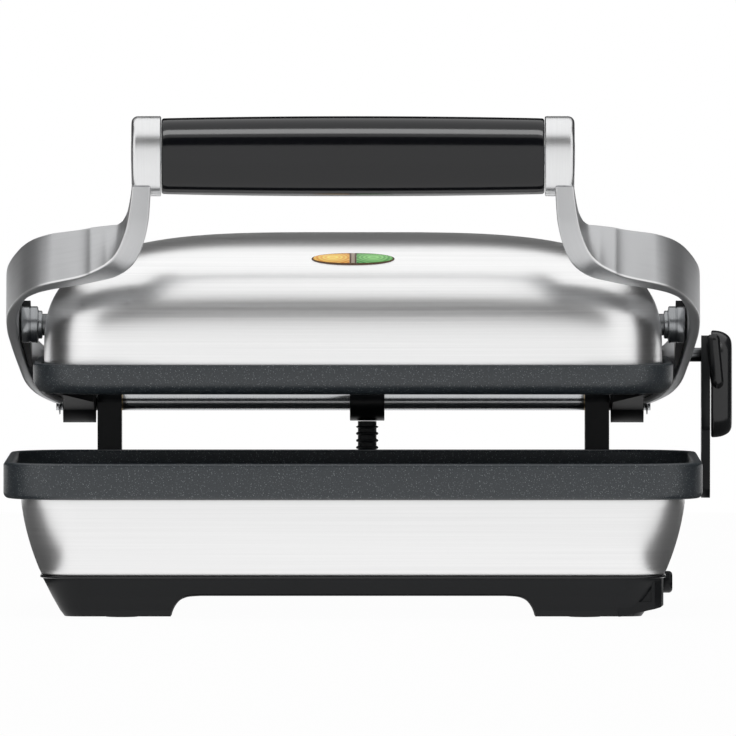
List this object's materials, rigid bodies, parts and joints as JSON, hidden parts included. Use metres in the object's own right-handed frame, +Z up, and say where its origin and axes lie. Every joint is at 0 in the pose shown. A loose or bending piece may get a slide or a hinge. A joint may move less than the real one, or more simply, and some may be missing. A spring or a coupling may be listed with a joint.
{
  "type": "panini press",
  "caption": "Countertop contact grill: cast tray in a steel-skinned base, domed floating lid with a cast plate on side pins, bent flat arms, round bar grip and a side height lock.",
  "frame": {"origin": "on the worktop plane, under the middle of the lower tray", "axes": "+X to the user's right, +Y to the back (hinge side), +Z up; lid stored raised and level"},
  "size_m": [0.4156, 0.293, 0.2841],
  "materials": {
    "tub_plastic": "fine satin grain",
    "band_steel": "brushed along its length",
    "pan_steel": "plain sheet",
    "rubber": "matte",
    "screw_steel": "zinc plated",
    "ceramic": "glazed ceramic",
    "cast_plate": "die cast, dark speckled non-stick coat",
    "element": "oxidised tube",
    "reflector": "plain sheet",
    "bush": "sintered bronze",
    "lock_black": "black satin",
    "conduit": "ribbed satin",
    "shaft": "turned",
    "arm_metal": "brushed",
    "liner_plastic": "satin",
    "grip_black": "high gloss",
    "boss_metal": "dark satin metal",
    "dome_steel": "brushed across the width",
    "bezel": "brown gloss",
    "lens_amber": "clear amber",
    "lens_green": "clear green",
    "board": "circuit board"
  },
  "bodies": {
    "base": {"base_tub": "tub_plastic", "base_band": "band_steel", "base_pan": "pan_steel", "rear_housing": "tub_plastic", "rubber_feet": "rubber", "base_screws": "screw_steel", "cord_gland": "tub_plastic", "terminal_block": "ceramic", "lower_plate": "cast_plate", "lower_element": "element", "lower_reflector": "reflector", "lower_thermostat": "ceramic", "plate_screws": "screw_steel", "hinge_bushes": "bush", "lock_strut": "lock_black", "lower_conduit": "conduit"},
    "hinge": {"hinge_shaft": "shaft", "shaft_clips": "shaft", "conduit_hub": "liner_plastic"},
    "arms": {"arm_left": "arm_metal", "arm_right": "arm_metal", "liner_left": "liner_plastic", "liner_right": "liner_plastic", "grip": "grip_black", "grip_rod": "shaft", "grip_screws": "screw_steel", "pivot_boss_left": "boss_metal", "pivot_boss_right": "boss_metal", "pivot_pin_left": "shaft", "pivot_pin_right": "shaft", "lock_stud": "shaft", "upper_conduit": "conduit"},
    "lid": {"lid_dome": "dome_steel", "upper_plate": "cast_plate", "upper_element": "element", "upper_reflector": "reflector", "upper_thermostat": "ceramic", "lid_bracket": "pan_steel", "pivot_bushes": "bush", "window_bezel": "bezel", "lens_amber": "lens_amber", "lens_green": "lens_green", "lamp_board": "board", "conduit_socket": "liner_plastic", "lid_screws": "screw_steel"},
    "lever": {"lock_lever": "tub_plastic", "lever_screw": "screw_steel"}
  },
  "joints": [
    {"name": "lid_open", "type": "hinge", "parent": "base", "child": "hinge", "pos_m": [0, 0.15, 0.115], "axis": [-1, 0, 0], "range_deg": [0, 85]},
    {"name": "arm_lower", "type": "hinge", "parent": "hinge", "child": "arms", "pos_m": [0, 0.15, 0.115], "axis": [1, 0, 0], "range_deg": [0, 20]},
    {"name": "lid_level", "type": "hinge", "parent": "arms", "child": "lid", "pos_m": [0, 0.013, 0.163], "axis": [-1, 0, 0], "range_deg": [0, 20], "deforming": ["upper_conduit"]},
    {"name": "lever_turn", "type": "hinge", "parent": "arms", "child": "lever", "pos_m": [0.2, 0.08128, 0.14403], "axis": [1, 0, 0], "range_deg": [0, 40]}
  ],
  "couplings": [
    {"joint": "lid_level", "follows": "arm_lower", "ratio": 1}
  ]
}
